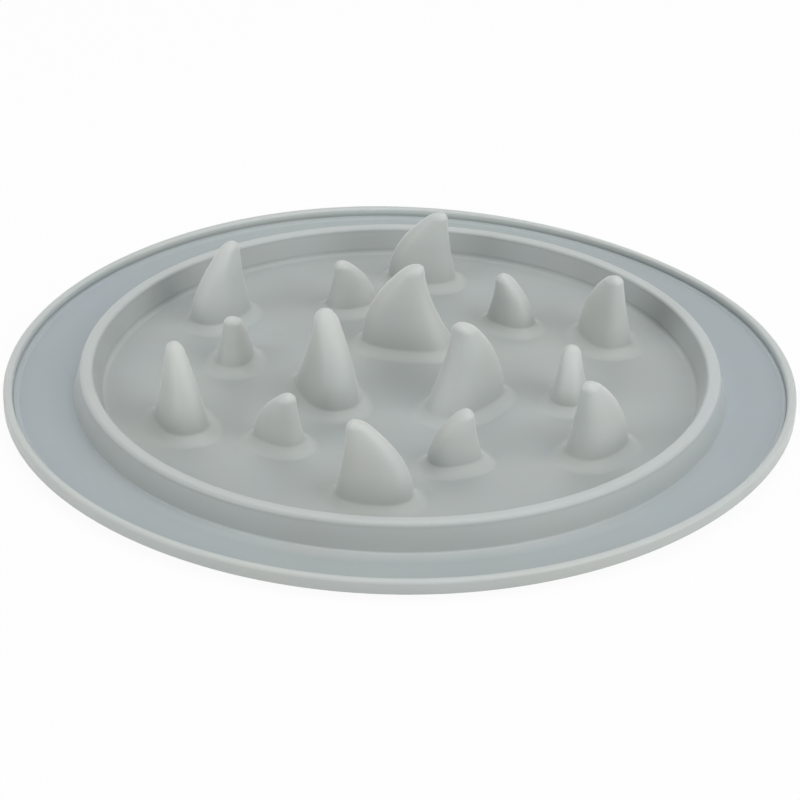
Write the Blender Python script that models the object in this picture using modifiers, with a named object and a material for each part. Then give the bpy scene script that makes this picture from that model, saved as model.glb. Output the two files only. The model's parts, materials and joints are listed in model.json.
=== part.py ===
"""Slow feeder mat: a round silicone sheet with a bowl wall and three rings of flexible fins.

Metres, +Z up. The origin is the centre of the sheet's underside.
"""
import math
from dataclasses import dataclass

import bmesh
import bpy

MM = 0.001
GAP = 0.3 * MM

# The sheet: a flat base, with a flange round it that curves up to its edge
MAT_RADIUS = 140.0 * MM
MAT_THICKNESS = 1.8 * MM
MAT_EDGE_ROUND = 0.4 * MM
FLAT_RADIUS = 119.0 * MM
EDGE_RISE = 2.2 * MM
FLANGE_WIDTH = MAT_RADIUS - FLAT_RADIUS
FLANGE_CURVE = (FLANGE_WIDTH**2 + EDGE_RISE**2) / (2 * EDGE_RISE)

# The lip round the sheet's edge
LIP_TOP = MAT_THICKNESS + EDGE_RISE + 2.8 * MM
LIP_WIDTH = 3.0 * MM
LIP_ROUND = 0.7 * MM
LIP_STEP_WIDTH = 2.2 * MM
LIP_STEP_HEIGHT = 1.1 * MM
LIP_STEP_SLOPE = 0.5 * MM

# The bowl wall
RIM_TOP = 11.5 * MM
RIM_OUTER_RADIUS = 113.9 * MM
RIM_INNER_RADIUS = 108.4 * MM
RIM_OUTER_ROUND = 1.6 * MM
RIM_INNER_ROUND = 1.2 * MM
WALL_DRAFT = 1.5 * MM
OUTER_FOOT_WIDTH = 4.6 * MM
OUTER_FOOT_HEIGHT = 0.6 * MM
INNER_FOOT = 2.0 * MM

# What every fin has in common
SKIRT_WIDTH = 4.6 * MM
SKIRT_POWER = 2
CREASE_HEIGHT = 2.8 * MM
STUB_HEIGHT = 1.2 * MM
BEND_LIMIT = math.radians(12.0)
UNDERCUT = BEND_LIMIT + math.radians(2.0)
SQUARENESS = 2.4
LEADING_POWER = 2.05
TRAILING_POWER = 1.8

# Fineness of the solids
RING_STEPS = 72
ROUND_STEPS = 3
FLANGE_STEPS = 4
FIN_SIDES = 20
FIN_LEVELS = 9
SKIRT_LEVELS = 3
MERGE_DISTANCE = 0.01 * MM
SHARP_ANGLE = math.radians(40.0)


@dataclass(frozen=True)
class FinRing:
    """One ring of equal fins, with the size of each fin.

    Bearings are measured from +X. A fin's nose points turn degrees on from its bearing. The tip lies
    tip_back behind the middle of the chord and is tip_side thick to either side.
    """

    name: str
    count: int
    radius: float
    first_bearing: float
    turn: float
    height: float
    chord: float
    thickness: float
    tip_back: float
    tip_side: float
    tip_round: float
    nose_round: float


FIN_RINGS = (
    FinRing(
        name="outer_fin", count=6, radius=82.5 * MM, first_bearing=24.5, turn=87.0,
        height=29.0 * MM, chord=25.8 * MM, thickness=17.2 * MM,
        tip_back=6.7 * MM, tip_side=2.5 * MM, tip_round=2.6 * MM, nose_round=2.5 * MM,
    ),
    FinRing(
        name="middle_fin", count=6, radius=61.0 * MM, first_bearing=48.0, turn=-85.0,
        height=20.0 * MM, chord=19.0 * MM, thickness=13.0 * MM,
        tip_back=3.8 * MM, tip_side=2.7 * MM, tip_round=2.5 * MM, nose_round=1.3 * MM,
    ),
    FinRing(
        name="inner_fin", count=3, radius=28.0 * MM, first_bearing=84.5, turn=86.0,
        height=32.8 * MM, chord=33.8 * MM, thickness=20.0 * MM,
        tip_back=3.2 * MM, tip_side=3.5 * MM, tip_round=2.2 * MM, nose_round=3.0 * MM,
    ),
)

# Linear colours of the grey silicone
SHEET_GREY = (0.42, 0.46, 0.46)
LIP_GREY = (0.47, 0.50, 0.49)
WALL_GREY = (0.42, 0.45, 0.44)
FIN_GREY = (0.53, 0.56, 0.54)
SILICONE_ROUGHNESS = 0.55


def clear_scene():
    """Remove whatever the scene holds."""
    for obj in list(bpy.data.objects):
        bpy.data.objects.remove(obj, do_unlink=True)


def silicone(name, colour):
    """A matt silicone material of one colour."""
    material = bpy.data.materials.new(name)
    material.use_nodes = True
    shader = material.node_tree.nodes["Principled BSDF"]
    shader.inputs["Base Color"].default_value = (*colour, 1.0)
    shader.inputs["Roughness"].default_value = SILICONE_ROUGHNESS
    shader.inputs["Metallic"].default_value = 0.0
    return material


def add_object(name, mesh, material, collection):
    """Link a new object for a mesh that wears one material."""
    if not mesh.materials:
        mesh.materials.append(material)
    obj = bpy.data.objects.new(name, mesh)
    collection.objects.link(obj)
    return obj


def arc(centre, radii, start, end, steps=ROUND_STEPS):
    """Points of an elliptical arc, in degrees, both ends included."""
    points = []
    for step in range(steps + 1):
        angle = math.radians(start + (end - start) * step / steps)
        points.append((centre[0] + radii[0] * math.cos(angle), centre[1] + radii[1] * math.sin(angle)))
    return points


def turned(name, outline, material, collection):
    """Turn a closed outline of (radius, height) points about the Z axis."""
    mesh = bpy.data.meshes.new(name)
    points = [(radius, 0.0, height) for radius, height in outline]
    edges = [(i, (i + 1) % len(points)) for i in range(len(points))]
    mesh.from_pydata(points, edges, [])
    obj = add_object(name, mesh, material, collection)
    screw = obj.modifiers.new("turn", "SCREW")
    screw.axis = "Z"
    screw.steps = RING_STEPS
    screw.render_steps = RING_STEPS
    screw.use_merge_vertices = True
    screw.merge_threshold = MERGE_DISTANCE
    screw.use_smooth_shade = True
    return obj


def flange_rise(radius):
    """Rise of the sheet at a radius: an arc that leaves the flat level and ends at the edge."""
    reach = max(0.0, radius - FLAT_RADIUS)
    return FLANGE_CURVE - math.sqrt(FLANGE_CURVE**2 - reach**2)


def base_mat(material, collection):
    """The flat round base that the mat rests on, which is also the floor of the bowl."""
    mesh = bpy.data.meshes.new("base_mat")
    shape = bmesh.new()
    bmesh.ops.create_cone(
        shape,
        cap_ends=True,
        segments=RING_STEPS,
        radius1=FLAT_RADIUS,
        radius2=FLAT_RADIUS,
        depth=MAT_THICKNESS,
    )
    shape.to_mesh(mesh)
    shape.free()
    obj = add_object("base_mat", mesh, material, collection)
    obj.location.z = MAT_THICKNESS / 2
    return obj


def mat_flange(material, collection):
    """The sheet's outer band, of even thickness, with a softened edge below."""
    rounded = MAT_RADIUS - MAT_EDGE_ROUND
    start = FLAT_RADIUS + GAP
    reaches = [start + (MAT_RADIUS - start) * step / FLANGE_STEPS for step in range(FLANGE_STEPS)]
    outline = [(radius, MAT_THICKNESS + flange_rise(radius)) for radius in reaches + [MAT_RADIUS]]
    outline.append((MAT_RADIUS, EDGE_RISE + MAT_EDGE_ROUND))
    outline += [(radius, flange_rise(radius)) for radius in [rounded] + reaches[::-1]]
    return turned("mat_flange", outline, material, collection)


def edge_lip(material, collection):
    """The raised lip: upright sides, a rounded top and a low step inside on the flange."""
    inner = MAT_RADIUS - LIP_WIDTH
    step = inner - LIP_STEP_WIDTH
    foot = step - LIP_STEP_SLOPE
    step_top = MAT_THICKNESS + flange_rise(step) + LIP_STEP_HEIGHT
    outline = arc((MAT_RADIUS - LIP_ROUND, LIP_TOP - LIP_ROUND), (LIP_ROUND, LIP_ROUND), 90, 0)
    outline.append((MAT_RADIUS, MAT_THICKNESS + EDGE_RISE + GAP))
    outline.append((foot, MAT_THICKNESS + flange_rise(foot) + GAP))
    outline += [(step, step_top), (inner, step_top)]
    outline += arc((inner + LIP_ROUND, LIP_TOP - LIP_ROUND), (LIP_ROUND, LIP_ROUND), 180, 90)
    return turned("edge_lip", outline, material, collection)


def bowl_wall(material, collection):
    """The bowl wall: drafted faces, a rounded rim, a shallow foot outside and a hollow fillet inside."""
    bottom = MAT_THICKNESS + GAP
    rim_outer = (RIM_OUTER_RADIUS - RIM_OUTER_ROUND, RIM_TOP - RIM_OUTER_ROUND)
    rim_inner = (RIM_INNER_RADIUS + RIM_INNER_ROUND, RIM_TOP - RIM_INNER_ROUND)
    wall_base = RIM_OUTER_RADIUS + WALL_DRAFT
    inner_foot = (RIM_INNER_RADIUS - WALL_DRAFT - INNER_FOOT, bottom + INNER_FOOT)
    outline = arc(rim_outer, (RIM_OUTER_ROUND, RIM_OUTER_ROUND), 90, 0)
    outline += [(wall_base, bottom + OUTER_FOOT_HEIGHT), (wall_base + OUTER_FOOT_WIDTH, bottom)]
    outline += arc(inner_foot, (INNER_FOOT, INNER_FOOT), 270, 360)
    outline += arc(rim_inner, (RIM_INNER_ROUND, RIM_INNER_ROUND), 180, 90)
    return turned("bowl_wall", outline, material, collection)


def round_end(depth, radius):
    """Half width of a round end at a depth below its top."""
    share = min(1.0, max(0.0, depth / radius))
    return radius * math.sqrt(share * (2 - share))


def blade_section(ring, share):
    """Lead, trail and half thickness of a fin at a share of its blade's height above the crease."""
    tip = -ring.tip_back
    half_chord = ring.chord / 2
    depth = (1 - share) * (ring.height - CREASE_HEIGHT)
    nose = (half_chord - tip - ring.nose_round) * (1 - share**LEADING_POWER)
    back = (half_chord + tip - ring.tip_round) * (1 - share) ** TRAILING_POWER
    flank = (ring.thickness / 2 - ring.tip_side) * (1 - share)
    lead = tip + round_end(depth, ring.nose_round) + nose
    trail = tip - round_end(depth, ring.tip_round) - back
    return lead, trail, round_end(depth, ring.tip_side) + flank


def oval_reach(half_length, half_width, angle):
    """Distance from the middle of a section to its skin: a squarish oval."""
    along = (abs(math.cos(angle)) / half_length) ** SQUARENESS
    across = (abs(math.sin(angle)) / half_width) ** SQUARENESS
    return (along + across) ** (-1 / SQUARENESS)


def fin_point(ring, height, angle):
    """Point of a fin's skin at a height above the sheet, at an angle round the fin."""
    share = (height - CREASE_HEIGHT) / (ring.height - CREASE_HEIGHT)
    lead, trail, side = blade_section(ring, min(1.0, max(0.0, share)))
    flare = 0.0
    if share < 0:
        flare = SKIRT_WIDTH * (1 - (height / CREASE_HEIGHT) ** (1 / SKIRT_POWER))
    reach = oval_reach((lead - trail) / 2 + flare, side + flare, angle)
    along = (lead + trail) / 2 + reach * math.cos(angle)
    return along, reach * math.sin(angle), height


def side_angles():
    """Angles of the points round a fin."""
    return [2 * math.pi * side / FIN_SIDES for side in range(FIN_SIDES)]


def loft(shape, rows):
    """Join rows of points, each a closed loop of equal length, with bands of faces."""
    for low, high in zip(rows, rows[1:]):
        for side in range(FIN_SIDES):
            after = (side + 1) % FIN_SIDES
            shape.faces.new((low[side], low[after], high[after], high[side]))


def root_mesh(ring):
    """The flared foot of a fin, flat below and at the bend line above."""
    mesh = bpy.data.meshes.new(ring.name + "_root")
    shape = bmesh.new()
    heights = [GAP + (CREASE_HEIGHT - GAP) * level / SKIRT_LEVELS for level in range(SKIRT_LEVELS + 1)]
    heights.append(CREASE_HEIGHT + STUB_HEIGHT)
    rows = []
    for height in heights:
        rows.append([shape.verts.new(fin_point(ring, height, angle)) for angle in side_angles()])
    loft(shape, rows)
    shape.faces.new(list(reversed(rows[0])))
    shape.faces.new(rows[-1])
    finish_mesh(shape, mesh)
    return mesh


def blade_mesh(ring):
    """The bending part of a fin, about its bend line; its underside rises to either side of that line."""
    mesh = bpy.data.meshes.new(ring.name)
    shape = bmesh.new()
    bend = CREASE_HEIGHT + STUB_HEIGHT
    start = bend + GAP
    rows = []
    for level in range(FIN_LEVELS):
        climb = math.sin(math.pi / 2 * level / FIN_LEVELS)
        row = []
        for angle in side_angles():
            across = fin_point(ring, start, angle)[1]
            edge = start + abs(across) * math.tan(UNDERCUT)
            along, across, height = fin_point(ring, edge + (ring.height - edge) * climb, angle)
            row.append(shape.verts.new((along, across, height - bend)))
        rows.append(row)
    loft(shape, rows)
    tip = shape.verts.new((-ring.tip_back, 0.0, ring.height - bend))
    for side in range(FIN_SIDES):
        shape.faces.new((rows[-1][side], rows[-1][(side + 1) % FIN_SIDES], tip))
    close_underside(shape, rows[0], GAP)
    finish_mesh(shape, mesh)
    return mesh


def close_underside(shape, loop, height):
    """Close the loop below a blade with two flats that meet along the bend line."""
    half = FIN_SIDES // 2
    spine = [loop[0]]
    for side in range(1, half):
        spine.append(shape.verts.new((loop[side].co.x, 0.0, height)))
    spine.append(loop[half])
    for side in range(half):
        left = (loop[side + 1], loop[side], spine[side], spine[side + 1])
        right_next = loop[(FIN_SIDES - side - 1) % FIN_SIDES]
        right_here = loop[(FIN_SIDES - side) % FIN_SIDES]
        right = (right_here, right_next, spine[side + 1], spine[side])
        for corners in (left, right):
            shape.faces.new(list(dict.fromkeys(corners)))


def finish_mesh(shape, mesh):
    """Point the faces outwards, shade them smooth and store the shape."""
    bmesh.ops.recalc_face_normals(shape, faces=shape.faces)
    for face in shape.faces:
        face.smooth = True
    shape.to_mesh(mesh)
    shape.free()
    mesh.set_sharp_from_angle(angle=SHARP_ANGLE)


def fin_ring(ring, root_material, blade_material, collection):
    """A ring of fins, each a foot on the sheet and a blade whose origin is on its bend line."""
    root = root_mesh(ring)
    blade = blade_mesh(ring)
    for index in range(ring.count):
        bearing = math.radians(ring.first_bearing + index * 360 / ring.count)
        heading = bearing + math.radians(ring.turn)
        place = bpy.data.objects.new(f"{ring.name}_place_{index + 1}", None)
        place.location = (ring.radius * math.cos(bearing), ring.radius * math.sin(bearing), MAT_THICKNESS)
        place.rotation_euler.z = heading
        collection.objects.link(place)
        foot = add_object(f"{ring.name}_root_{index + 1}", root, root_material, collection)
        foot.parent = place
        fin = add_object(f"{ring.name}_{index + 1}", blade, blade_material, collection)
        fin.parent = place
        fin.location.z = CREASE_HEIGHT + STUB_HEIGHT


def main():
    """Build the whole mat."""
    clear_scene()
    collection = bpy.data.collections.new("slow_feeder_mat")
    bpy.context.scene.collection.children.link(collection)
    base_mat(silicone("base_silicone", SHEET_GREY), collection)
    mat_flange(silicone("flange_silicone", SHEET_GREY), collection)
    edge_lip(silicone("lip_silicone", LIP_GREY), collection)
    bowl_wall(silicone("wall_silicone", WALL_GREY), collection)
    for ring in FIN_RINGS:
        root_material = silicone(ring.name + "_root_silicone", SHEET_GREY)
        blade_material = silicone(ring.name + "_silicone", FIN_GREY)
        fin_ring(ring, root_material, blade_material, collection)


main()
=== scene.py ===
"""Looks of a slow feeder mat: one grey silicone moulding with a bowl wall and three rings of soft fins.

Metres, +Z up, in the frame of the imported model. Each turned skin and each fin is made by a Geometry Nodes
tree from its own sizes, and every silicone finish shares one surface node group.
"""
import json
import logging
import math
from dataclasses import dataclass, fields
from enum import Enum
from typing import Optional, Union

import bpy
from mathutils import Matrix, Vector

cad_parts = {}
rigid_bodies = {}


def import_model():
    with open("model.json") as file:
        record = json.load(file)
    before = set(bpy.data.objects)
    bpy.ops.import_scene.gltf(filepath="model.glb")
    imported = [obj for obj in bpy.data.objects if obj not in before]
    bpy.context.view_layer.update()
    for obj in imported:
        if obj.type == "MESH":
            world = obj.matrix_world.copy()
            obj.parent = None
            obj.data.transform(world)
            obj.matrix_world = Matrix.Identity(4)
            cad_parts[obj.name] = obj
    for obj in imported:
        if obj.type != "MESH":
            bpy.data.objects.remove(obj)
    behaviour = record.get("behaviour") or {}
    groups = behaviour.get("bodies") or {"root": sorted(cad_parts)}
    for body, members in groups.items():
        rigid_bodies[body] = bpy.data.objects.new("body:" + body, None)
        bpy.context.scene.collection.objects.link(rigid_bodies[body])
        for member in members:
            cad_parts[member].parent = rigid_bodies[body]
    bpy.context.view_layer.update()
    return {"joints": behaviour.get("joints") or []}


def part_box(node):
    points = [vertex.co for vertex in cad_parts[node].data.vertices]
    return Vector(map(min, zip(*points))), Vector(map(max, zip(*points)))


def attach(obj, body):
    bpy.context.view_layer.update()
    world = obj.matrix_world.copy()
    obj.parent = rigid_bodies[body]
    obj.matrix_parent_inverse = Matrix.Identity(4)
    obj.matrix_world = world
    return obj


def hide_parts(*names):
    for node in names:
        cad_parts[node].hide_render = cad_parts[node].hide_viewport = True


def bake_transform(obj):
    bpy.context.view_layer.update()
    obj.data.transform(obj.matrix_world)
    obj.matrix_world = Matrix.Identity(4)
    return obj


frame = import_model()

MM = 0.001
LOG = logging.getLogger("slow_feeder_mat")

Colour = tuple[float, float, float]
Point = tuple[float, float]
Number = Union["Field", float]


class Slot(Enum):
    """Material slots of the record."""

    SHEET = "sheet"
    LIP = "lip"
    WALL = "wall"
    FIN = "fin"


class Share(Enum):
    """Shares from 0 to 1 that a skin carries as attributes for its material."""

    # Paler edges and tips: partly rubbed wear, partly painted highlight.
    RUB = "rub"
    SHEET = "sheet"
    # Darker creases and grooves: painted shade.
    GRIME = "grime"


class Field:
    """A number worked out by the nodes of a tree, so that a rule reads as arithmetic."""

    def __init__(self, tree: bpy.types.NodeTree, socket: bpy.types.NodeSocket) -> None:
        """Wrap an output socket of a tree."""
        self.tree = tree
        self.socket = socket

    def calc(self, operation: str, *values: Number, clamp: bool = False) -> "Field":
        """Add a Math node to the field's tree.

        Args:
            operation: Name of the node's operation.
            values: Fields or plain numbers for its inputs.
            clamp: Hold the result between 0 and 1.

        Returns:
            The node's result.
        """
        node = self.tree.nodes.new("ShaderNodeMath")
        node.operation = operation
        node.use_clamp = clamp
        for socket, value in zip(node.inputs, values):
            feed(self.tree, socket, value)
        return Field(self.tree, node.outputs[0])

    def __add__(self, other: Number) -> "Field":
        """Sum."""
        return self.calc("ADD", self, other)

    def __sub__(self, other: Number) -> "Field":
        """Difference."""
        return self.calc("SUBTRACT", self, other)

    def __rsub__(self, other: float) -> "Field":
        """Difference with a plain number first."""
        return self.calc("SUBTRACT", other, self)

    def __mul__(self, other: Number) -> "Field":
        """Product."""
        return self.calc("MULTIPLY", self, other)

    def __truediv__(self, other: Number) -> "Field":
        """Quotient."""
        return self.calc("DIVIDE", self, other)

    def __pow__(self, other: Number) -> "Field":
        """Power."""
        return self.calc("POWER", self, other)

    def floor(self) -> "Field":
        """Whole part."""
        return self.calc("FLOOR", self)

    def root(self) -> "Field":
        """Square root."""
        return self.calc("SQRT", self)

    def sine(self) -> "Field":
        """Sine."""
        return self.calc("SINE", self)

    def cosine(self) -> "Field":
        """Cosine."""
        return self.calc("COSINE", self)

    def size(self) -> "Field":
        """The number without its sign."""
        return self.calc("ABSOLUTE", self)

    def unit(self) -> "Field":
        """The number held between 0 and 1."""
        return self.calc("ADD", self, 0.0, clamp=True)

    __radd__ = __add__
    __rmul__ = __mul__


def feed(tree: bpy.types.NodeTree, socket: bpy.types.NodeSocket, value: object) -> None:
    """Give an input socket a value.

    Args:
        tree: Tree of the socket.
        socket: Input to feed.
        value: Field or output socket to link, or a plain value to set.
    """
    if isinstance(value, Field):
        tree.links.new(value.socket, socket)
    elif isinstance(value, bpy.types.NodeSocket):
        tree.links.new(value, socket)
    else:
        socket.default_value = value


def add_node(
    tree: bpy.types.NodeTree, kind: str, settings: Optional[dict[str, object]] = None, **inputs: object,
) -> bpy.types.Node:
    """Add a node to a tree.

    Args:
        tree: Tree that takes the node.
        kind: Blender's name for the node type.
        settings: Properties of the node, set first.
        inputs: Values for its inputs, by name with _ for a space.

    Returns:
        The node.
    """
    node = tree.nodes.new(kind)
    for name, value in (settings or {}).items():
        setattr(node, name, value)
    for name, value in inputs.items():
        feed(tree, node.inputs[name.replace("_", " ")], value)
    return node


def mix_colour(
    tree: bpy.types.NodeTree, blend: str, factor: object, first: object, second: object,
) -> bpy.types.NodeSocket:
    """Mix two colours.

    Args:
        tree: Tree that takes the node.
        blend: Blender's blend type.
        factor: Share of the second colour.
        first: First colour.
        second: Second colour.

    Returns:
        The mixed colour.
    """
    node = add_node(tree, "ShaderNodeMix", {"data_type": "RGBA", "blend_type": blend})
    feed(tree, node.inputs["Factor"], factor)
    colours = [socket for socket in node.inputs if socket.type == "RGBA"]
    feed(tree, colours[0], first)
    feed(tree, colours[1], second)
    return next(socket for socket in node.outputs if socket.type == "RGBA")


def add_object(name: str, data: bpy.types.ID) -> bpy.types.Object:
    """Add an object to the scene.

    Args:
        name: Name of the object.
        data: Mesh, light or camera that it shows.

    Returns:
        The object, at the origin.
    """
    thing = bpy.data.objects.new(name, data)
    bpy.context.scene.collection.objects.link(thing)
    return thing


class NamedTree:
    """A node tree with named inputs."""

    def __init__(self, name: str, kind: str) -> None:
        """Start an empty tree of one of Blender's tree types."""
        self.tree = bpy.data.node_groups.new(name, kind)
        self.entry = self.tree.nodes.new("NodeGroupInput")

    def named(self, name: str, kind: str = "NodeSocketFloat") -> Field:
        """Add a named input and give its value inside the tree."""
        self.tree.interface.new_socket(name, in_out="INPUT", socket_type=kind)
        return Field(self.tree, self.entry.outputs[name])


class SkinTree(NamedTree):
    """A Geometry Nodes tree that makes the mesh of one piece from rows of points."""

    SEAM_DISTANCE = 0.001 * MM

    def __init__(self, name: str) -> None:
        """Start an empty tree.

        Args:
            name: Name of the node group.
        """
        super().__init__(name, "GeometryNodeTree")
        self.tree.is_modifier = True
        self.tree.interface.new_socket("Geometry", in_out="OUTPUT", socket_type="NodeSocketGeometry")
        self.profile = self.named("Geometry", "NodeSocketGeometry").socket

    def weave(self, rows: Number, columns: Field) -> tuple[bpy.types.NodeSocket, Field, Field]:
        """Add a grid of points whose columns go once round the piece.

        Args:
            rows: Count of rows.
            columns: Count of columns round the piece.

        Returns:
            The grid, each point's row and each point's angle.
        """
        around = columns + 1.0
        grid = add_node(self.tree, "GeometryNodeMeshGrid", Vertices_X=rows, Vertices_Y=around)
        index = Field(self.tree, self.tree.nodes.new("GeometryNodeInputIndex").outputs[0])
        row = ((index + 0.5) / around).floor()
        column = index - row * around
        return grid.outputs["Mesh"], row, column * math.tau / columns

    def close(
        self, grid: bpy.types.NodeSocket, place: tuple[Field, Field, Field], shares: dict[Share, Field],
    ) -> None:
        """Put the points in place, close the seam and the poles, and end the tree.

        Args:
            grid: Grid of points.
            place: The three coordinates of each point.
            shares: Shares that the material reads, stored as attributes of the points.
        """
        tree = self.tree
        material = self.named("Material", "NodeSocketMaterial")
        for share, value in shares.items():
            stored = add_node(
                tree, "GeometryNodeStoreNamedAttribute", {"data_type": "FLOAT", "domain": "POINT"},
                Geometry=grid, Name=share.value, Value=value,
            )
            grid = stored.outputs["Geometry"]
        position = add_node(tree, "ShaderNodeCombineXYZ", X=place[0], Y=place[1], Z=place[2])
        placed = add_node(tree, "GeometryNodeSetPosition", Geometry=grid, Position=position.outputs[0])
        merged = add_node(
            tree, "GeometryNodeMergeByDistance",
            Geometry=placed.outputs["Geometry"], Distance=self.SEAM_DISTANCE,
        )
        smooth = add_node(tree, "GeometryNodeSetShadeSmooth", Geometry=merged.outputs["Geometry"])
        real = add_node(tree, "GeometryNodeRealizeInstances", Geometry=smooth.outputs[0])
        dressed = add_node(
            tree, "GeometryNodeSetMaterial", Geometry=real.outputs["Geometry"], Material=material,
        )
        end = tree.nodes.new("NodeGroupOutput")
        tree.links.new(dressed.outputs["Geometry"], end.inputs["Geometry"])

    def bake(self, name: str, values: dict[str, object], profile: bpy.types.Mesh) -> bpy.types.Object:
        """Make a plain mesh piece with the tree.

        Args:
            name: Name of the piece.
            values: Values for the tree's inputs, by name.
            profile: Mesh that the tree starts from.

        Returns:
            The piece, at the origin.
        """
        maker = add_object(name + "_maker", profile)
        modifier = maker.modifiers.new("skin", "NODES")
        modifier.node_group = self.tree
        for item in self.tree.interface.items_tree:
            if item.in_out == "INPUT" and item.name in values:
                modifier[item.identifier] = values[item.name]
        evaluated = maker.evaluated_get(bpy.context.evaluated_depsgraph_get())
        mesh = bpy.data.meshes.new_from_object(evaluated)
        mesh.name = name
        bpy.data.objects.remove(maker, do_unlink=True)
        return add_object(name, mesh)


class Outline:
    """Outline of a turned piece: points of radius and height, with the shares that they carry."""

    def __init__(self) -> None:
        """Start with no points."""
        self.points: list[Point] = []
        self.shares: dict[Share, list[float]] = {share: [] for share in Share}

    def add(
        self, points: list[Point],
        rub: Point = (0.0, 0.0), sheet: Point = (0.0, 0.0), grime: Point = (0.0, 0.0),
    ) -> None:
        """Add a stretch of points.

        Args:
            points: The points.
            shine: How much paler the first and the last of them are, partly from rubbed wear and partly
                from painted highlight.
            sheet: How much the first and the last of them take after the sheet.
            shade: How much painted shade darkens the first and the last of them.
        """
        last = max(1, len(points) - 1)
        ends = {Share.RUB: rub, Share.SHEET: sheet, Share.GRIME: grime}
        for step, point in enumerate(points):
            self.points.append(point)
            for share, (first, final) in ends.items():
                self.shares[share].append(first + (final - first) * step / last)

    def close(self) -> None:
        """Repeat the first point at the end."""
        self.points.append(self.points[0])
        for values in self.shares.values():
            values.append(values[0])

    def mesh(self, name: str) -> bpy.types.Mesh:
        """The outline as loose points in the XZ plane.

        Args:
            name: Name of the mesh.

        Returns:
            The mesh, with the shares as attributes.
        """
        mesh = bpy.data.meshes.new(name)
        mesh.from_pydata([(radius, 0.0, height) for radius, height in self.points], [], [])
        for share, values in self.shares.items():
            mesh.attributes.new(share.value, "FLOAT", "POINT").data.foreach_set("value", values)
        return mesh


@dataclass(frozen=True)
class FlangeLie:
    """How the soft flange lies: low waves that grow from the flat base out to its edge.

    Attributes:
        start: Radius at which the waves start.
        end: Radius of the edge.
        waves: Height at the edge and bearing in degrees of a crest, first for the wave with one crest
            round the edge, then for those with two and three.
    """

    start: float
    end: float
    waves: tuple[Point, ...] = ((0.63 * MM, -102.0), (0.76 * MM, -46.6), (0.84 * MM, -19.0))

    def inputs(self) -> dict[str, float]:
        """The sizes by the names of the tree's inputs.

        Returns:
            The values, with bearings in radians.
        """
        values = {"Flange Start": self.start, "Flange End": self.end}
        for crests, (height, bearing) in enumerate(self.waves, 1):
            values[f"Wave {crests} Height"] = height
            values[f"Wave {crests} Bearing"] = math.radians(bearing)
        return values


class TurnedTree(SkinTree):
    """Turns an outline of radius (X) and height (Z) round the Z axis, and lays the flange in waves."""

    STEPS = 360
    WAVE_POWER = 2.0

    def __init__(self, lie: FlangeLie) -> None:
        """Build the tree.

        Args:
            lie: How the flange lies.
        """
        super().__init__("turned_skin")
        self.lie = lie
        tree = self.tree
        steps = self.named("Steps", "NodeSocketInt")
        count = add_node(tree, "GeometryNodeAttributeDomainSize", Geometry=self.profile)
        grid, row, angle = self.weave(Field(tree, count.outputs["Point Count"]), steps)
        position = tree.nodes.new("GeometryNodeInputPosition")
        split = add_node(
            tree, "ShaderNodeSeparateXYZ", Vector=self.sample("FLOAT_VECTOR", position.outputs[0], row),
        )
        radius = Field(tree, split.outputs["X"])
        height = Field(tree, split.outputs["Z"])
        shares = {}
        for share in Share:
            carried = add_node(
                tree, "GeometryNodeInputNamedAttribute", {"data_type": "FLOAT"}, Name=share.value,
            )
            shares[share] = Field(tree, self.sample("FLOAT", carried.outputs["Attribute"], row))
        lifted = height + self.lift(radius, angle)
        self.close(grid, (radius * angle.cosine(), radius * angle.sine(), lifted), shares)

    def lift(self, radius: Field, angle: Field) -> Field:
        """Lift of the flange by its waves.

        Args:
            radius: Radius of each point.
            angle: Angle of each point round the axis.

        Returns:
            The lift.
        """
        start = self.named("Flange Start")
        share = ((radius - start) / (self.named("Flange End") - start)).unit()
        waves = []
        for crests in range(1, len(self.lie.waves) + 1):
            height = self.named(f"Wave {crests} Height")
            bearing = self.named(f"Wave {crests} Bearing")
            waves.append(height * ((angle - bearing) * crests).cosine())
        return sum(waves, 0.0) * share**self.WAVE_POWER

    def sample(self, kind: str, value: bpy.types.NodeSocket, row: Field) -> bpy.types.NodeSocket:
        """Read a value of the outline, of one of Blender's data types, at each point's row."""
        node = add_node(
            self.tree, "GeometryNodeSampleIndex", {"data_type": kind, "domain": "POINT"},
            Geometry=self.profile, Value=value, Index=row,
        )
        return node.outputs["Value"]

    def turn(self, name: str, outline: Outline, material: bpy.types.Material) -> bpy.types.Object:
        """Turn an outline, which runs down the outer side and is closed for a ring, into a piece."""
        values = {"Steps": self.STEPS, "Material": material, **self.lie.inputs()}
        return self.bake(name, values, outline.mesh(name + "_profile"))


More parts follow.
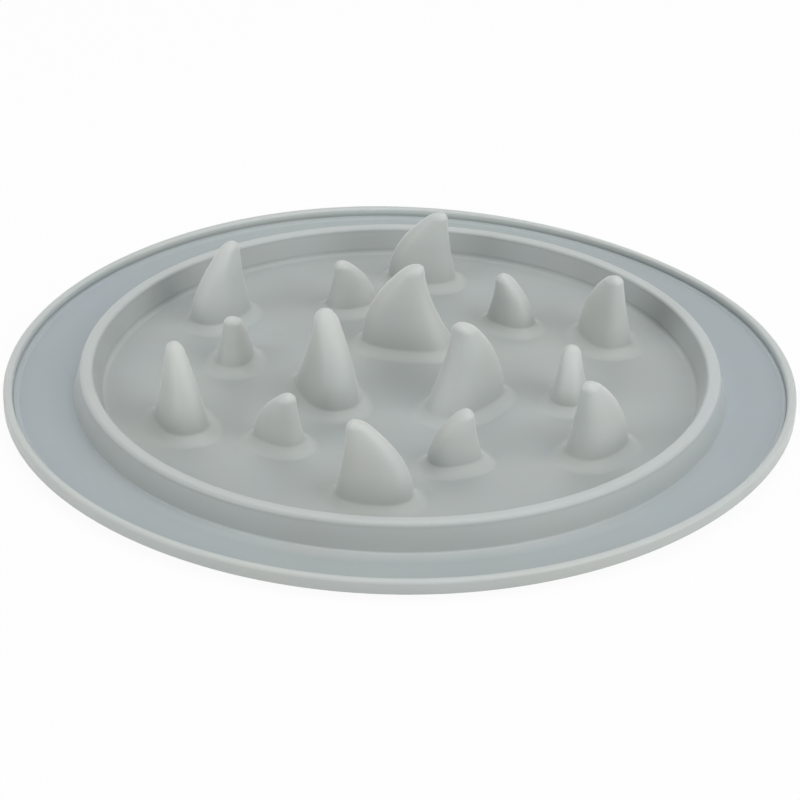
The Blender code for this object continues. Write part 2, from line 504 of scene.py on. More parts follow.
class FinTree(SkinTree):
    """Rule of a shark-fin prong: a blade with a curved nose and a hollow back, on a flared skirt."""

    SIDES = 112
    SKIRT_ROWS = 16
    BLADE_ROWS = 72
    BURIED_ROWS = 2
    SQUARENESS = 2.4
    LEADING_POWER = 2.05
    TRAILING_POWER = 1.8
    SKIRT_POWER = 2.0
    # Above this share of the blade the fin is paler towards its tip, partly rubbed wear and partly painted
    # highlight; the next constants shape the painted shade in the crease above the skirt.
    RUB_START = 0.5
    GRIME_END = 0.4
    GRIME_RISE_POWER = 4.0
    GRIME_FADE_POWER = 2.0

    def __init__(self) -> None:
        """Build the tree."""
        super().__init__("fin_skin")
        sides = self.named("Sides", "NodeSocketInt")
        names = ("Height", "Skirt Width", "Crease Height", "Floor", "Sink", "Root Depth")
        height, skirt, crease, floor, sink, depth = (self.named(name) for name in names)
        centre_x, centre_y, heading = (self.named(name) for name in ("Centre X", "Centre Y", "Heading"))
        rows = self.BURIED_ROWS + self.SKIRT_ROWS + self.BLADE_ROWS + 1
        grid, row, angle = self.weave(rows, sides)
        opened = row.unit()
        buried = (self.BURIED_ROWS - row).unit()
        rise = ((row - self.BURIED_ROWS) / self.SKIRT_ROWS).unit()
        climb = ((row - (self.BURIED_ROWS + self.SKIRT_ROWS)) / self.BLADE_ROWS).unit()
        share = (climb * (math.pi / 2)).sine()
        lead, trail, side = self.section(share, (height - crease) * (1.0 - share))
        flare = skirt * (1.0 - rise)
        reach = self.oval((lead - trail) / 2.0 + flare, side + flare, angle)
        along = ((lead + trail) / 2.0 + reach * angle.cosine()) * opened
        across = reach * angle.sine() * opened
        above = crease * rise**self.SKIRT_POWER + (height - crease) * share - sink - depth * buried
        place = (
            centre_x + along * heading.cosine() - across * heading.sine(),
            centre_y + along * heading.sine() + across * heading.cosine(),
            floor + above,
        )
        # Paler towards the tip: partly rubbed wear, partly painted highlight.
        rub = ((share - self.RUB_START) / (1.0 - self.RUB_START)).unit()
        # Painted shade in the crease where the blade leaves the skirt.
        fade = (1.0 - share / self.GRIME_END).unit() ** self.GRIME_FADE_POWER
        grime = rise**self.GRIME_RISE_POWER * fade
        self.close(grid, place, {Share.RUB: rub, Share.SHEET: 1.0 - rise, Share.GRIME: grime})

    def section(self, share: Field, depth: Field) -> tuple[Field, Field, Field]:
        """Lead, trail and half thickness of the blade.

        Args:
            share: Share of the blade's height above its crease.
            depth: Depth below the tip.

        Returns:
            The three distances from the middle of the chord.
        """
        half_chord = self.named("Chord") / 2.0
        half_thickness = self.named("Thickness") / 2.0
        tip = self.named("Tip Back") * -1.0
        tip_side = self.named("Tip Side")
        tip_round = self.named("Tip Round")
        nose_round = self.named("Nose Round")
        nose = (half_chord - tip - nose_round) * (1.0 - share**self.LEADING_POWER).unit()
        back = (half_chord + tip - tip_round) * (1.0 - share).unit() ** self.TRAILING_POWER
        flank = (half_thickness - tip_side) * (1.0 - share).unit()
        lead = tip + self.round_end(depth, nose_round) + nose
        trail = tip - self.round_end(depth, tip_round) - back
        return lead, trail, self.round_end(depth, tip_side) + flank

    @staticmethod
    def round_end(depth: Field, radius: Field) -> Field:
        """Half width of a round end at a depth below its top."""
        share = (depth / radius).unit()
        return radius * (share * (2.0 - share)).root()

    def oval(self, half_length: Field, half_width: Field, angle: Field) -> Field:
        """Distance from the middle of a section to its skin: a squarish oval.

        Args:
            half_length: Half of the section's length.
            half_width: Half of its width.
            angle: Angle round the section, from its nose.

        Returns:
            The distance.
        """
        along = (angle.cosine().size() * half_width) ** self.SQUARENESS
        across = (angle.sine().size() * half_length) ** self.SQUARENESS
        return half_length * half_width / (along + across) ** (1.0 / self.SQUARENESS)


class SiliconeSurface(NamedTree):
    """Node group that every silicone finish shares.

    It turns the colour to that of the sheet, which is bluer on the flange than inside the bowl, with a
    bluer painted reflection on the flange's sides and a painted highlight at the wall's foot in front. It
    adds a cloudy tint, lint specks, smudges, paler edges and tips from rubbed wear and painted highlight,
    painted shade in creases and mould grain. Each noise is given as waves to the metre and octaves.
    """

    FLOOR_COLOUR = (0.428, 0.462, 0.452)
    FLANGE_COLOUR = (0.406, 0.456, 0.455)
    # Bluer painted reflection on the flange's sides.
    SIDE_COLOUR = (0.412, 0.458, 0.486)
    FLANGE_START = 109.0 * MM
    FLANGE_END = 115.0 * MM
    # Painted highlight: a paler ring at the wall's foot, strongest in front.
    FOOT_RADIUS = 115.5 * MM
    FOOT_WIDTH = 6.0 * MM
    FOOT_LIGHT = 0.4
    FRONT_POWER = 2.0
    # Colour of the lint specks, also used for the painted highlight at the wall's foot.
    LINT_COLOUR = (0.80, 0.81, 0.80)
    DRIFT_NOISE = (13.0, 1.0)
    CLOUD_NOISE = (26.0, 3.0)
    HUE_NOISE = (75.0, 2.0)
    SPECK_CELLS = 62.0
    SPECK_RADIUS = 0.022
    SPECK_SHARE = 0.16
    SPECK_EDGE = 2.0
    SPECK_ROUGHNESS = 0.2
    SPECK_HEIGHT = 0.8
    SMUDGE_NOISE = (48.0, 5.0)
    SMUDGE_LEVEL = 0.66
    SMUDGE_CONTRAST = 9.0
    RUB_POLISH = 0.5
    GRAIN_NOISE = (1500.0, 2.0)
    PEEL_NOISE = (260.0, 2.0)
    PEEL_SHARE = 0.6

    def __init__(self) -> None:
        """Build the group."""
        super().__init__("silicone_surface", "ShaderNodeTree")
        self.coordinates = self.tree.nodes.new("ShaderNodeTexCoord").outputs["Object"]
        colour = mix_colour(
            self.tree, "MIX",
            self.named("Sheet"), self.named("Colour", "NodeSocketColor"), self.sheet_colour(),
        )
        cloud = self.drift(*self.CLOUD_NOISE) * self.named("Cloud")
        hue = (self.drift(*self.DRIFT_NOISE) + self.drift(*self.HUE_NOISE)) * self.named("Hue Shift")
        # Edges and tips are paler, partly rubbed wear and partly painted highlight; creases are darker with
        # painted shade.
        rub = self.named("Rub") * self.named("Rub Strength")
        grime = self.named("Grime") * self.named("Grime Strength")
        specks = self.specks() * self.named("Specks")
        smudge = ((self.noise(*self.SMUDGE_NOISE) - self.SMUDGE_LEVEL) * self.SMUDGE_CONTRAST).unit()
        light = (1.0 + cloud + rub - grime) * (1.0 - smudge * self.named("Smudges"))
        red = light * (1.0 - hue)
        blue = light * (1.0 + hue)
        tint = add_node(self.tree, "ShaderNodeCombineColor", Red=red, Green=light, Blue=blue)
        shaded = mix_colour(self.tree, "MULTIPLY", 1.0, colour, tint.outputs[0])
        dusted = mix_colour(self.tree, "MIX", specks, shaded, (*self.LINT_COLOUR, 1.0))
        grain = self.noise(*self.GRAIN_NOISE) * (1.0 - self.PEEL_SHARE)
        peel = self.noise(*self.PEEL_NOISE) * self.PEEL_SHARE
        rough = self.named("Roughness") + cloud + specks * self.SPECK_ROUGHNESS - rub * self.RUB_POLISH
        height = grain + peel + specks * self.SPECK_HEIGHT
        self.put_out({"Colour": dusted, "Roughness": rough, "Height": height})

    def put_out(self, results: dict[str, object]) -> None:
        """End the group.

        Args:
            results: Fields or sockets that the group puts out, by name.
        """
        for name in results:
            kind = "NodeSocketColor" if name == "Colour" else "NodeSocketFloat"
            self.tree.interface.new_socket(name, in_out="OUTPUT", socket_type=kind)
        end = self.tree.nodes.new("NodeGroupOutput")
        for name, value in results.items():
            feed(self.tree, end.inputs[name], value)

    def sheet_colour(self) -> bpy.types.NodeSocket:
        """Colour of the sheet.

        Returns:
            The colour: grey in the bowl, bluer on the flange, with a bluer painted reflection on the
                flange's sides and a painted highlight at the wall's foot in front.
        """
        split = add_node(self.tree, "ShaderNodeSeparateXYZ", Vector=self.coordinates)
        x, y = (Field(self.tree, split.outputs[axis]) for axis in ("X", "Y"))
        reach = (x * x + y * y).root()
        flange = ((reach - self.FLANGE_START) / (self.FLANGE_END - self.FLANGE_START)).unit()
        # Painted reflection: the flange turns bluer towards its sides.
        side_reflection = (x / self.FLANGE_END * (x / self.FLANGE_END)).unit()
        outer = mix_colour(self.tree, "MIX", side_reflection, (*self.FLANGE_COLOUR, 1.0), (*self.SIDE_COLOUR, 1.0))
        # Painted highlight at the wall's foot in front.
        front = (y / self.FOOT_RADIUS * -1.0).unit() ** self.FRONT_POWER
        foot = (1.0 - (reach - self.FOOT_RADIUS).size() / self.FOOT_WIDTH).unit() * front * self.FOOT_LIGHT
        foot_highlighted = mix_colour(self.tree, "MIX", foot, outer, (*self.LINT_COLOUR, 1.0))
        return mix_colour(self.tree, "MIX", flange, (*self.FLOOR_COLOUR, 1.0), foot_highlighted)

    def noise(self, scale: float, detail: float) -> Field:
        """Noise in Object coordinates, about 0 to 1."""
        node = add_node(
            self.tree, "ShaderNodeTexNoise", Vector=self.coordinates, Scale=scale, Detail=detail,
        )
        return Field(self.tree, node.outputs[0])

    def drift(self, scale: float, detail: float) -> Field:
        """Noise about zero, from -1 to 1."""
        return (self.noise(scale, detail) - 0.5) * 2.0

    def specks(self) -> Field:
        """Mask of sparse lint specks.

        Returns:
            The mask: a small dot in a few cells of a scattered pattern.
        """
        cells = add_node(
            self.tree, "ShaderNodeTexVoronoi", {"feature": "F1", "distance": "EUCLIDEAN"},
            Vector=self.coordinates, Scale=self.SPECK_CELLS,
        )
        split = add_node(self.tree, "ShaderNodeSeparateColor", Color=cells.outputs["Color"])
        chance = Field(self.tree, split.outputs[0])
        chosen = chance.calc("LESS_THAN", chance, self.SPECK_SHARE)
        away = Field(self.tree, cells.outputs["Distance"]) / self.SPECK_RADIUS
        return ((1.0 - away) * self.SPECK_EDGE).unit() * chosen


@dataclass(frozen=True)
class SiliconeFinish:
    """One silicone finish.

    Attributes:
        name: Name of the material.
        colour: Linear colour.
        roughness: Roughness before the surface's own changes.
        cloud: How far the brightness drifts.
        hue_shift: How far the tint drifts to blue and back.
        specks: Strength of the lint specks.
        smudges: Strength of the darker smudges.
        rub_strength: How much paler an edge or tip is, partly rubbed wear and partly painted highlight.
        grime_strength: How much darker a crease is with painted shade.
        grain: Strength of the mould grain.
        edge_light: Strength of the painted highlight, a paler colour where the skin is seen at a glancing
            angle; it is strongest on the paler edges and tips.
    """

    name: str
    colour: Colour
    roughness: float = 0.46
    cloud: float = 0.05
    hue_shift: float = 0.02
    specks: float = 0.6
    smudges: float = 0.05
    rub_strength: float = 0.06
    grime_strength: float = 0.12
    grain: float = 0.12
    edge_light: float = 0.15

    # Painted highlight at glancing angles: its colour, where it starts, how fast it grows and its strength
    # away from the paler edges.
    EDGE_COLOUR = (0.86, 0.87, 0.86)
    EDGE_START = 0.5
    EDGE_POWER = 2.0
    EDGE_REST = 0.25
    SHEEN = 0.5
    SHEEN_ROUGHNESS = 0.25
    INDEX = 1.42
    GRAIN_DEPTH = 0.12 * MM

    def material(self, surface: SiliconeSurface) -> bpy.types.Material:
        """Make the material.

        Args:
            surface: Node group of the silicone surface.

        Returns:
            The material.
        """
        material = bpy.data.materials.new(self.name)
        material.use_nodes = True
        tree = material.node_tree
        shader = tree.nodes["Principled BSDF"]
        skin = add_node(
            tree, "ShaderNodeGroup", {"node_tree": surface.tree},
            Colour=(*self.colour, 1.0), Roughness=self.roughness, Cloud=self.cloud,
            Hue_Shift=self.hue_shift, Rub_Strength=self.rub_strength, Grime_Strength=self.grime_strength,
            Specks=self.specks, Smudges=self.smudges,
        )
        shares = {}
        for share in Share:
            carried = add_node(tree, "ShaderNodeAttribute", {"attribute_name": share.value})
            shares[share] = Field(tree, carried.outputs["Fac"])
            feed(tree, skin.inputs[share.value.title()], shares[share])
        bump = add_node(
            tree, "ShaderNodeBump",
            Strength=self.grain, Distance=self.GRAIN_DEPTH, Height=skin.outputs["Height"],
        )
        # Painted highlight: a paler colour where the skin is seen at a glancing angle.
        facing = Field(tree, tree.nodes.new("ShaderNodeLayerWeight").outputs["Facing"])
        glance = ((facing - self.EDGE_START) / (1.0 - self.EDGE_START)).unit() ** self.EDGE_POWER
        edge = glance * (self.EDGE_REST + (1.0 - self.EDGE_REST) * shares[Share.RUB])
        colour = mix_colour(
            tree, "MIX", edge * self.edge_light, skin.outputs["Colour"], (*self.EDGE_COLOUR, 1.0),
        )
        inputs = {
            "Base Color": colour, "Roughness": skin.outputs["Roughness"], "Normal": bump.outputs["Normal"],
            "IOR": self.INDEX, "Sheen Weight": self.SHEEN, "Sheen Roughness": self.SHEEN_ROUGHNESS,
        }
        for name, value in inputs.items():
            feed(tree, shader.inputs[name], value)
        return material


def arc(centre: Point, radius: float, start: float, end: float, steps: int = 12) -> list[Point]:
    """Points of a round arc.

    Args:
        centre: Centre of the arc.
        radius: Radius of the arc.
        start: First angle, in degrees.
        end: Last angle, in degrees.
        steps: Count of steps.

    Returns:
        The points, both ends included.
    """
    points = []
    for step in range(steps + 1):
        angle = math.radians(start + (end - start) * step / steps)
        points.append((centre[0] + radius * math.cos(angle), centre[1] + radius * math.sin(angle)))
    return points


def straight(start: Point, end: Point, steps: int) -> list[Point]:
    """Points along a straight line, without its ends."""
    return [
        (start[0] + (end[0] - start[0]) * step / steps, start[1] + (end[1] - start[1]) * step / steps)
        for step in range(1, steps)
    ]


def ease(share: float) -> float:
    """Smooth step from 0 to 1."""
    held = min(1.0, max(0.0, share))
    return held * held * (3 - 2 * held)


def settle(piece: bpy.types.Object, nodes: list[str], body: str = "mat") -> None:
    """Let a piece ride a body and stand for its nodes.

    Args:
        piece: Finished piece.
        nodes: Nodes that the piece stands for.
        body: Body that carries it.
    """
    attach(piece, body)
    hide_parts(*nodes)
    LOG.info("%s: %d faces on %s", piece.name, len(piece.data.polygons), body)


@dataclass(frozen=True)
class MatSheet:
    """The sheet: a flat base, a flange that curves up, and the lip round its edge.

    Attributes:
        radius: Radius of the mat.
        thickness: Thickness of the sheet.
        flat_radius: Radius at which the flange starts.
        edge_rise: Rise of the flange at the edge.
        lip_top: Height of the lip.
        lip_width: Width of the lip at its top.
        outer_round: Rounding of the lip's outer top edge.
        inner_round: Rounding of the lip's inner top edge.
        groove_width: Width of the groove at the lip's inner foot.
        groove_floor: Height of the groove's floor above the flange.
        step_width: Width of the low step inside the groove.
        step_height: Height of that step above the flange.
        step_slope: Width over which the step drops to the flange.
        edge_round: Rounding of the bottom edge.
        overlap: How far from the edge the sheet stops under the lip's foot.
        sink: How far the step's edge dips under the flange's top.
    """

    radius: float
    thickness: float
    flat_radius: float
    edge_rise: float
    lip_top: float
    lip_width: float = 3.1 * MM
    outer_round: float = 1.0 * MM
    inner_round: float = 1.1 * MM
    groove_width: float = 0.6 * MM
    groove_floor: float = 0.3 * MM
    step_width: float = 0.8 * MM
    step_height: float = 0.6 * MM
    step_slope: float = 1.0 * MM
    edge_round: float = 0.4 * MM
    overlap: float = 4.2 * MM
    sink: float = 0.01 * MM

    FLAT_STEPS = 12
    FLANGE_STEPS = 24
    SIDE_STEPS = 6
    FOOT_STEPS = 48
    BOTTOM_SWEEP = 80.0
    BURIED_SHARE = 0.3
    BURIED_OUTSIDE = 2.0 * MM
    BURIED_INSIDE = 1.0 * MM

    @classmethod
    def from_frame(cls) -> "MatSheet":
        """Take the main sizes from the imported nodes.

        Returns:
            The sheet.
        """
        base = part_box("base_mat")[1]
        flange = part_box("mat_flange")
        return cls(
            radius=flange[1][0],
            thickness=base[2],
            flat_radius=base[0],
            edge_rise=flange[1][2] - base[2],
            lip_top=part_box("edge_lip")[1][2],
        )

    def rise(self, radius: float) -> float:
        """Rise of the sheet: an arc that leaves the flat level and ends at the edge.

        Args:
            radius: Distance from the mat's axis.

        Returns:
            The rise.
        """
        width = self.radius - self.flat_radius
        curve = (width**2 + self.edge_rise**2) / (2 * self.edge_rise)
        reach = max(0.0, radius - self.flat_radius)
        return curve - math.sqrt(curve**2 - reach**2)

    def sheet_outline(self) -> list[Point]:
        """Outline of the base and flange.

        Returns:
            The points, from the middle of the top round to the middle below.
        """
        end = self.radius - self.overlap
        width = end - self.flat_radius
        radii = [self.flat_radius * step / self.FLAT_STEPS for step in range(self.FLAT_STEPS)]
        steps = range(self.FLANGE_STEPS + 1)
        radii += [self.flat_radius + width * step / self.FLANGE_STEPS for step in steps]
        top = [(radius, self.thickness + self.rise(radius)) for radius in radii]
        below = [(radius, self.rise(radius)) for radius in reversed(radii)]
        return top + below

    def lip_outline(self) -> Outline:
        """Outline of the lip: flat top, upright sides, then a groove and a low step inside.

        Returns:
            The closed outline, down the outer side and up the inner side.
        """
        outline = Outline()
        inner = self.radius - self.lip_width
        outer_centre = (self.radius - self.outer_round, self.lip_top - self.outer_round)
        outer_arc = arc(outer_centre, self.outer_round, 90, 0)
        # The shine share pales the lip's top and inner side, partly rubbed wear and partly painted
        # highlight.
        outline.add(outer_arc, rub=(0.7, 0.1))
        bottom = self.edge_rise + self.edge_round
        outline.add(straight(outer_arc[-1], (self.radius, bottom), self.SIDE_STEPS), rub=(0.1, 0.0))
        edge_centre = (self.radius - self.edge_round, bottom)
        outline.add(arc(edge_centre, self.edge_round, 0, -self.BOTTOM_SWEEP, self.SIDE_STEPS))
        foot = inner - self.groove_width - self.step_width - self.step_slope
        buried = self.thickness * self.BURIED_SHARE
        under = (inner + self.BURIED_OUTSIDE, inner, foot + self.BURIED_INSIDE)
        outline.add([(radius, self.rise(radius) + buried) for radius in under])
        # Painted shade darkens the groove at the lip's foot; the step and the lip's inner side are paler
        # from wear and painted highlight.
        outline.add(self.lip_foot(inner, foot), rub=(0.4, 0.2), sheet=(1.0, 0.6), grime=(0.0, 1.0))
        wall_foot = self.thickness + self.rise(inner) + self.groove_floor
        inner_centre = (inner + self.inner_round, self.lip_top - self.inner_round)
        inner_arc = arc(inner_centre, self.inner_round, 180, 90)
        inner_side = straight((inner, wall_foot), inner_arc[0], self.SIDE_STEPS)
        outline.add(inner_side, rub=(0.0, 0.8), sheet=(0.6, 0.0), grime=(1.0, 0.0))
        outline.add(inner_arc, rub=(0.8, 0.7))
        outline.close()
        return outline

    def lip_foot(self, inner: float, foot: float) -> list[Point]:
        """Top of the step beside the lip, from the flange over the step into the groove.

        Args:
            inner: Radius of the lip's inner side.
            foot: Radius at which the step starts.

        Returns:
            The points, from the flange to the lip.
        """
        points = []
        for step in range(self.FOOT_STEPS + 1):
            radius = foot + (inner - foot) * step / self.FOOT_STEPS
            up = ease((radius - foot) / self.step_slope)
            down = ease((radius - inner + self.groove_width) / self.groove_width)
            step_rise = self.step_height * up - (self.step_height - self.groove_floor) * down
            points.append((radius, self.thickness + self.rise(radius) + step_rise - self.sink))
        return points

    def build(self, turning: TurnedTree, sheet: bpy.types.Material, lip: bpy.types.Material) -> None:
        """Make the sheet and the lip.

        Args:
            turning: Tree that turns an outline.
            sheet: Finish of the sheet.
            lip: Finish of the lip.
        """
        outline = Outline()
        outline.add(self.sheet_outline(), sheet=(1.0, 1.0))
        settle(turning.turn("mat_sheet_skin", outline, sheet), ["base_mat", "mat_flange"])
        settle(turning.turn("edge_lip_skin", self.lip_outline(), lip), ["edge_lip"])


@dataclass(frozen=True)
class BowlWall:
    """The bowl's wall: drafted faces, a rounded rim, a shallow foot outside and a hollow fillet inside.

    Attributes:
        rim_top: Height of the rim.
        floor: Height of the sheet's top.
        outer_radius: Radius of the rim's outer side.
        inner_radius: Radius of the rim's inner side.
        outer_round: Rounding of the rim's outer edge.
        inner_round: Rounding of the rim's inner edge.
        draft: How far each face leans out to its foot.
        outer_foot_width: Width of the outer foot.
        outer_foot_height: Height of the outer foot at the wall.
        outer_foot_power: How hollow the outer foot is, with 1 for a straight slope.
        inner_foot: Radius of the inner fillet.
        sink: How far the feathered feet dip under the sheet's top.
        root_depth: How far the wall reaches into the sheet.
    """

    rim_top: float
    floor: float
    outer_radius: float = 113.4 * MM
    inner_radius: float = 108.4 * MM
    outer_round: float = 1.6 * MM
    inner_round: float = 1.2 * MM
    draft: float = 2.3 * MM
    outer_foot_width: float = 4.8 * MM
    outer_foot_height: float = 0.1 * MM
    outer_foot_power: float = 1.5
    inner_foot: float = 2.0 * MM
    sink: float = 0.01 * MM
    root_depth: float = 0.6 * MM

    FOOT_STEPS = 20
    FILLET_STEPS = 16
    FACE_STEPS = 12
    RIM_STEPS = 6

    @classmethod
    def from_frame(cls) -> "BowlWall":
        """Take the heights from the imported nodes."""
        return cls(rim_top=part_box("bowl_wall")[1][2], floor=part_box("base_mat")[1][2])

    def outline(self) -> Outline:
        """Outline of the wall.

        Returns:
            The closed outline, down the outer side and up the inner side.
        """
        ground = self.floor - self.sink
        outer_centre = (self.outer_radius - self.outer_round, self.rim_top - self.outer_round)
        inner_centre = (self.inner_radius + self.inner_round, self.rim_top - self.inner_round)
        wall_base = self.outer_radius + self.draft
        inner_foot = (self.inner_radius - self.draft - self.inner_foot, ground + self.inner_foot)
        rim_outer = arc(outer_centre, self.outer_round, 90, 0)
        foot_outer = [
            (
                wall_base + self.outer_foot_width * step / self.FOOT_STEPS,
                ground + self.outer_foot_height * (1 - step / self.FOOT_STEPS) ** self.outer_foot_power,
            )
            for step in range(self.FOOT_STEPS + 1)
        ]
        foot_inner = arc(inner_foot, self.inner_foot, 270, 360, self.FILLET_STEPS)
        rim_inner = arc(inner_centre, self.inner_round, 180, 90)
        buried = self.floor - self.root_depth
        outline = Outline()
        # The shine share pales the rim, partly rubbed wear and partly painted highlight.
        outline.add(rim_outer, rub=(1.0, 0.2))
        outline.add(straight(rim_outer[-1], foot_outer[0], self.FACE_STEPS), rub=(0.2, 0.0))
        outline.add(foot_outer, sheet=(1.0, 1.0))
        outline.add([(foot_outer[-1][0], buried), (foot_inner[0][0], buried)], sheet=(1.0, 1.0))
        outline.add(foot_inner, sheet=(1.0, 0.0))
        outline.add(straight(foot_inner[-1], rim_inner[0], self.FACE_STEPS))
        outline.add(rim_inner, rub=(0.1, 1.0))
        outline.add(straight(rim_inner[-1], rim_outer[0], self.RIM_STEPS), rub=(1.0, 1.0))
        outline.close()
        return outline

    def build(self, turning: TurnedTree, finish: bpy.types.Material) -> None:
        """Make the wall."""
        settle(turning.turn("bowl_wall_skin", self.outline(), finish), ["bowl_wall"])


class Ring(Enum):
    """The three rings of fins, by the name that their nodes start with."""

    OUTER = "outer_fin"
    MIDDLE = "middle_fin"
    INNER = "inner_fin"


@dataclass(frozen=True)
class FinRing:
    """One ring of equal fins.

    Attributes:
        ring: Which ring.
        height: Height of a fin above the sheet.
        chord: Length of a fin at its crease.
        thickness: Thickness of a fin at its crease.
        tip_back: How far the tip lies behind the middle of the chord.
        tip_side: Half of the tip's thickness.
        tip_round: Rounding of the tip's back.
        nose_round: Rounding of the tip's nose.
        skirt_width: Width of the flared skirt.
        crease_height: Height at which the blade leaves the skirt.
        sink: How far the skirt's edge dips under the sheet's top.
        root_depth: How far the foot reaches into the sheet.
        bend_reach: Height above the crease over which a bend would be spread; not used.
    """

    ring: Ring
    height: float
    chord: float
    thickness: float
    tip_back: float
    tip_side: float
    tip_round: float
    nose_round: float
    skirt_width: float = 5.0 * MM
    crease_height: float = 2.8 * MM
    sink: float = 0.01 * MM
    root_depth: float = 0.6 * MM
    bend_reach: float = 9.0 * MM

    def build(self, tree: FinTree, finish: bpy.types.Material) -> None:
        """Make each fin of the ring at its own joint.

        Args:
            tree: Tree with the fin's rule.
            finish: Finish of the fins.
        """
        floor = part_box("base_mat")[1][2]
        empty = bpy.data.meshes.new("fin_start")
        for joint in frame["joints"]:
            fin = joint["child"]
            if not fin.startswith(self.ring.value):
                continue
            place = Vector(joint["pos_m"])
            axis = joint["axis"]
            values = {
                size.name.replace("_", " ").title(): getattr(self, size.name) for size in fields(self)
            }
            values |= {
                "Sides": tree.SIDES, "Floor": floor, "Centre X": place.x, "Centre Y": place.y,
                "Heading": math.atan2(axis[1], axis[0]), "Material": finish,
            }
            skin = tree.bake(fin + "_skin", values, empty)
            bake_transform(skin)
            root = fin.replace("_fin_", "_fin_root_")
            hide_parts(root, fin)
            LOG.info("%s: %d faces, bends from %s", skin.name, len(skin.data.polygons), joint["parent"])


@dataclass(frozen=True)
class SoftLamp:
    """A wide soft lamp that faces the mat.

    Attributes:
        name: Name of the lamp.
        place: Where it hangs.
        size: Width.
        power: Power.
    """

    name: str
    place: tuple[float, float, float]
    size: float
    power: float

    def build(self) -> None:
        """Hang the lamp."""
        light = bpy.data.lights.new(self.name, "AREA")
        light.energy = self.power
        light.size = self.size
        lamp = add_object(self.name, light)
        lamp.location = self.place
        lamp.visible_camera = False
        lamp.rotation_euler = Vector(self.place).to_track_quat("Z", "Y").to_euler()


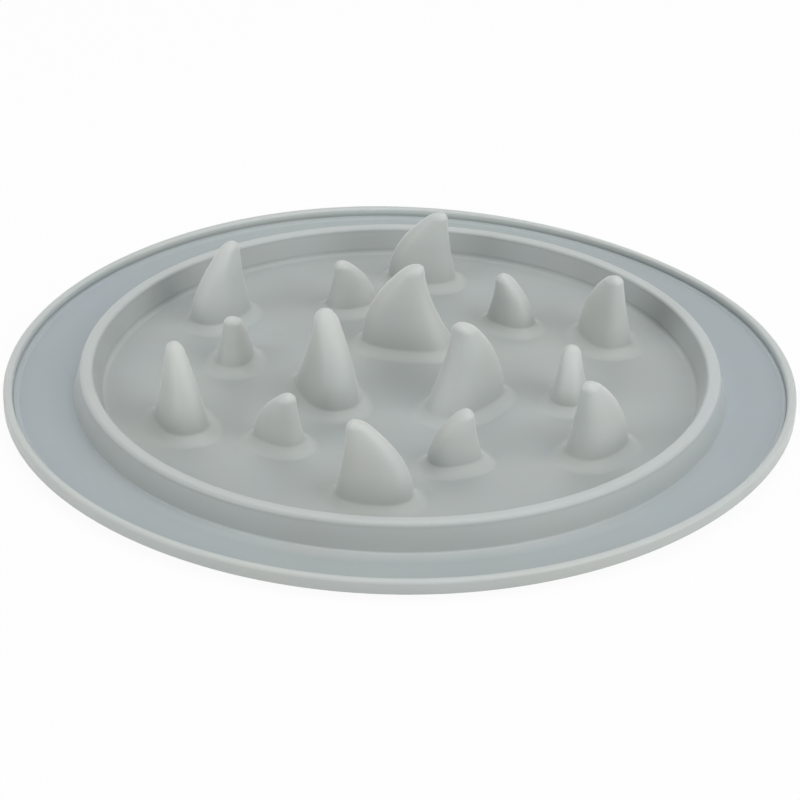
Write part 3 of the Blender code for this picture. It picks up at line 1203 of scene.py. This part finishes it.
@dataclass(frozen=True)
class Studio:
    """Pale floor, soft light from above and the camera.

    Attributes:
        elevation: Camera's angle above the floor, in degrees.
        roll: Camera's roll, in degrees.
        distance: Camera's distance from the origin.
        focal_pixels: Focal length in pixels of the image.
        image_pixels: Width and height of the image.
        centre_pixel: Where the origin shows in the image.
        sky: Strength of the light from all round.
        lamps: The soft lamps.
        floor_glow: Share of plain white in what the camera sees of the floor.
    """

    elevation: float = 28.39
    roll: float = 0.86
    distance: float = 906.0 * MM
    focal_pixels: float = 2536.0
    image_pixels: float = 800.0
    centre_pixel: Point = (399.9, 385.4)
    sky: float = 0.2
    lamps: tuple[SoftLamp, ...] = (
        SoftLamp("high_right_softbox", (0.55, -0.32, 1.36), size=1.2, power=6.2),
        SoftLamp("high_back_softbox", (0.0, 0.63, 1.36), size=1.2, power=6.2),
        SoftLamp("left_softbox", (-1.22, -0.70, 0.51), size=1.2, power=9.4),
        SoftLamp("right_softbox", (1.22, -0.70, 0.51), size=1.2, power=10.4),
    )
    floor_glow: float = 0.94

    SENSOR = 36.0
    FLOOR_COLOUR = (0.95, 0.95, 0.95, 1.0)
    WHITE = (1.0, 1.0, 1.0, 1.0)
    FLOOR_SIZE = 12.0
    FLOOR_DROP = 0.05 * MM

    def build(self) -> None:
        """Make the floor, the light and the camera."""
        self.add_floor()
        self.add_world()
        for lamp in self.lamps:
            lamp.build()
        self.add_camera()
        bpy.context.scene.view_settings.view_transform = "Standard"

    @staticmethod
    def seen_directly(tree: bpy.types.NodeTree) -> Field:
        """Pick out the rays that show a background.

        Args:
            tree: Tree that takes the nodes.

        Returns:
            1 for rays from the camera, by reflection or through glass, and 0 for the rest.
        """
        path = tree.nodes.new("ShaderNodeLightPath")
        seen = Field(tree, path.outputs["Is Camera Ray"])
        for name in ("Is Glossy Ray", "Is Transmission Ray"):
            seen = seen.calc("MAXIMUM", seen, Field(tree, path.outputs[name]))
        return seen

    def add_floor(self) -> None:
        """A large pale floor that keeps the shadow."""
        half = self.FLOOR_SIZE / 2
        mesh = bpy.data.meshes.new("studio_floor")
        corners = [(-half, -half), (half, -half), (half, half), (-half, half)]
        mesh.from_pydata([(x, y, -self.FLOOR_DROP) for x, y in corners], [], [(0, 1, 2, 3)])
        material = bpy.data.materials.new("studio_white")
        material.use_nodes = True
        tree = material.node_tree
        tree.nodes.remove(tree.nodes["Principled BSDF"])
        matt = add_node(tree, "ShaderNodeBsdfDiffuse", Color=self.FLOOR_COLOUR)
        glow = add_node(tree, "ShaderNodeEmission", Color=self.WHITE, Strength=1.0)
        mixed = add_node(tree, "ShaderNodeMixShader", Fac=self.seen_directly(tree) * self.floor_glow)
        tree.links.new(matt.outputs[0], mixed.inputs[1])
        tree.links.new(glow.outputs[0], mixed.inputs[2])
        tree.links.new(mixed.outputs[0], tree.nodes["Material Output"].inputs["Surface"])
        mesh.materials.append(material)
        floor = add_object("studio_floor", mesh)

    def add_world(self) -> None:
        """Soft light from all round, behind a white background."""
        world = bpy.data.worlds.new("studio_world")
        world.use_nodes = True
        tree = world.node_tree
        background = tree.nodes["Background"]
        background.inputs["Color"].default_value = self.WHITE
        feed(tree, background.inputs["Strength"], self.seen_directly(tree) * (1.0 - self.sky) + self.sky)
        bpy.context.scene.world = world

    def add_camera(self) -> None:
        """The camera, aimed at the origin from the front."""
        angle = math.radians(self.elevation)
        data = bpy.data.cameras.new("photo_camera")
        data.sensor_width = self.SENSOR
        data.lens = self.SENSOR * self.focal_pixels / self.image_pixels
        data.shift_x = (self.image_pixels / 2 - self.centre_pixel[0]) / self.image_pixels
        data.shift_y = (self.centre_pixel[1] - self.image_pixels / 2) / self.image_pixels
        camera = add_object("photo_camera", data)
        camera.location = (0.0, -self.distance * math.cos(angle), self.distance * math.sin(angle))
        camera.rotation_euler = (math.pi / 2 - angle, 0.0, 0.0)
        camera.rotation_euler.rotate_axis("Z", math.radians(self.roll))
        bpy.context.scene.camera = camera


FIN_RINGS = (
    FinRing(
        Ring.OUTER, height=29.0 * MM, chord=25.8 * MM, thickness=17.2 * MM,
        tip_back=6.7 * MM, tip_side=2.5 * MM, tip_round=2.6 * MM, nose_round=2.5 * MM,
    ),
    FinRing(
        Ring.MIDDLE, height=20.0 * MM, chord=19.0 * MM, thickness=13.0 * MM,
        tip_back=3.8 * MM, tip_side=2.7 * MM, tip_round=2.5 * MM, nose_round=1.3 * MM,
    ),
    FinRing(
        Ring.INNER, height=32.8 * MM, chord=33.8 * MM, thickness=20.0 * MM,
        tip_back=3.2 * MM, tip_side=3.5 * MM, tip_round=2.2 * MM, nose_round=3.0 * MM,
    ),
)
# The sheet, lip, wall and fins are one silicone; the lip's and the fins' paler colours are painted light.
SHEET_FINISH = SiliconeFinish("sheet_silicone", SiliconeSurface.FLOOR_COLOUR, smudges=0.07)
LIP_FINISH = SiliconeFinish("lip_silicone", (0.468, 0.498, 0.486), rub_strength=0.32)
WALL_FINISH = SiliconeFinish("wall_silicone", (0.422, 0.452, 0.444), rub_strength=0.27)
FIN_FINISH = SiliconeFinish(
    "fin_silicone", (0.53, 0.558, 0.541), smudges=0.03, rub_strength=0.12, edge_light=0.8,
)


def main() -> None:
    """Dress the whole mat and set up the studio."""
    logging.basicConfig(level=logging.INFO, format="%(name)s: %(message)s")
    surface = SiliconeSurface()
    sheet = MatSheet.from_frame()
    turning = TurnedTree(FlangeLie(sheet.flat_radius, sheet.radius))
    fin_rule = FinTree()
    Studio().build()
    sheet.build(turning, SHEET_FINISH.material(surface), LIP_FINISH.material(surface))
    BowlWall.from_frame().build(turning, WALL_FINISH.material(surface))
    fin_silicone = FIN_FINISH.material(surface)
    for ring in FIN_RINGS:
        ring.build(fin_rule, fin_silicone)


if __name__ == "__main__":
    main()
